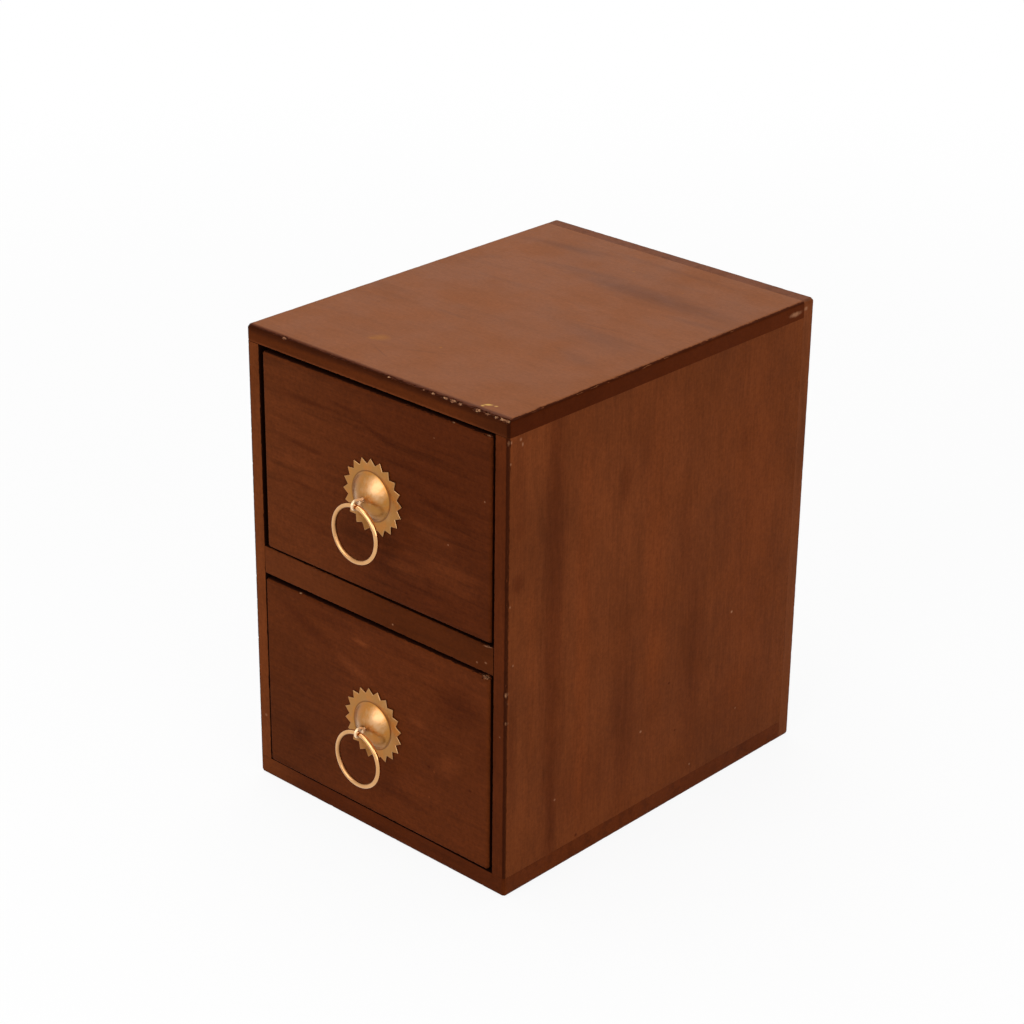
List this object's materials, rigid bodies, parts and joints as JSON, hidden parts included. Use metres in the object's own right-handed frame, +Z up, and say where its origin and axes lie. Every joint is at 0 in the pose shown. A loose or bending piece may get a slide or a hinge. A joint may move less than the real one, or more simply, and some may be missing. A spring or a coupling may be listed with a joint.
{
  "type": "miniature chest of drawers",
  "caption": "Small tabletop chest in dark stained wood: a plain box of boards with flush drawers one above the other, each with a saw-toothed brass rosette and a hanging ring pull.",
  "frame": {"origin": "the centre of the carcass's underside, on the surface that the chest stands on", "axes": "+X to the right of someone facing the drawers, -Y the front that the drawers pull out of, +Z up"},
  "size_m": [0.1396, 0.1904, 0.2],
  "materials": {
    "stained_top": "reddish brown stain, worn satin, paler than the rest",
    "stained_carcass": "dark reddish brown stain, satin",
    "stained_fronts": "dark mahogany stain with streaky grain, satin",
    "bare_wood": "unfinished softwood and thin plywood",
    "brass_rosettes": "pressed sheet, aged golden brown lacquer",
    "brass_wire": "polished wire, bright",
    "steel_pins": "plain steel panel pins"
  },
  "bodies": {
    "carcass": {"top_board": "stained_top", "bottom_board": "stained_carcass", "left_side": "stained_carcass", "right_side": "stained_carcass", "back_panel": "stained_carcass", "divider_rail": "stained_carcass", "left_runner": "bare_wood", "right_runner": "bare_wood", "back_pin_1": "steel_pins", "back_pin_2": "steel_pins", "back_pin_3": "steel_pins", "back_pin_4": "steel_pins", "back_pin_5": "steel_pins", "back_pin_6": "steel_pins"},
    "upper_drawer": {"upper_drawer_front": "stained_fronts", "upper_drawer_left_side": "bare_wood", "upper_drawer_right_side": "bare_wood", "upper_drawer_back": "bare_wood", "upper_drawer_floor": "bare_wood", "upper_drawer_pin_1": "steel_pins", "upper_drawer_pin_2": "steel_pins", "upper_drawer_pin_3": "steel_pins", "upper_drawer_pin_4": "steel_pins", "upper_drawer_pin_5": "steel_pins", "upper_drawer_pin_6": "steel_pins", "upper_drawer_pin_7": "steel_pins", "upper_drawer_pin_8": "steel_pins", "upper_rosette": "brass_rosettes", "upper_split_pin": "brass_wire"},
    "upper_ring": {"upper_ring": "brass_wire"},
    "lower_drawer": {"lower_drawer_front": "stained_fronts", "lower_drawer_left_side": "bare_wood", "lower_drawer_right_side": "bare_wood", "lower_drawer_back": "bare_wood", "lower_drawer_floor": "bare_wood", "lower_drawer_pin_1": "steel_pins", "lower_drawer_pin_2": "steel_pins", "lower_drawer_pin_3": "steel_pins", "lower_drawer_pin_4": "steel_pins", "lower_drawer_pin_5": "steel_pins", "lower_drawer_pin_6": "steel_pins", "lower_drawer_pin_7": "steel_pins", "lower_drawer_pin_8": "steel_pins", "lower_rosette": "brass_rosettes", "lower_split_pin": "brass_wire"},
    "lower_ring": {"lower_ring": "brass_wire"}
  },
  "joints": [
    {"name": "upper_drawer_slide", "type": "slide", "parent": "carcass", "child": "upper_drawer", "axis": [0, -1, 0], "range_m": [0, 0.13]},
    {"name": "lower_drawer_slide", "type": "slide", "parent": "carcass", "child": "lower_drawer", "axis": [0, -1, 0], "range_m": [0, 0.13]},
    {"name": "upper_ring_swing", "type": "hinge", "parent": "upper_drawer", "child": "upper_ring", "pos_m": [-0.00075, -0.0983, 0.1471], "axis": [-1, 0, 0], "range_deg": [-18.5, 198.5]},
    {"name": "lower_ring_swing", "type": "hinge", "parent": "lower_drawer", "child": "lower_ring", "pos_m": [-0.00165, -0.0976, 0.04805], "axis": [-1, 0, 0], "range_deg": [-16.6, 196.6]}
  ]
}
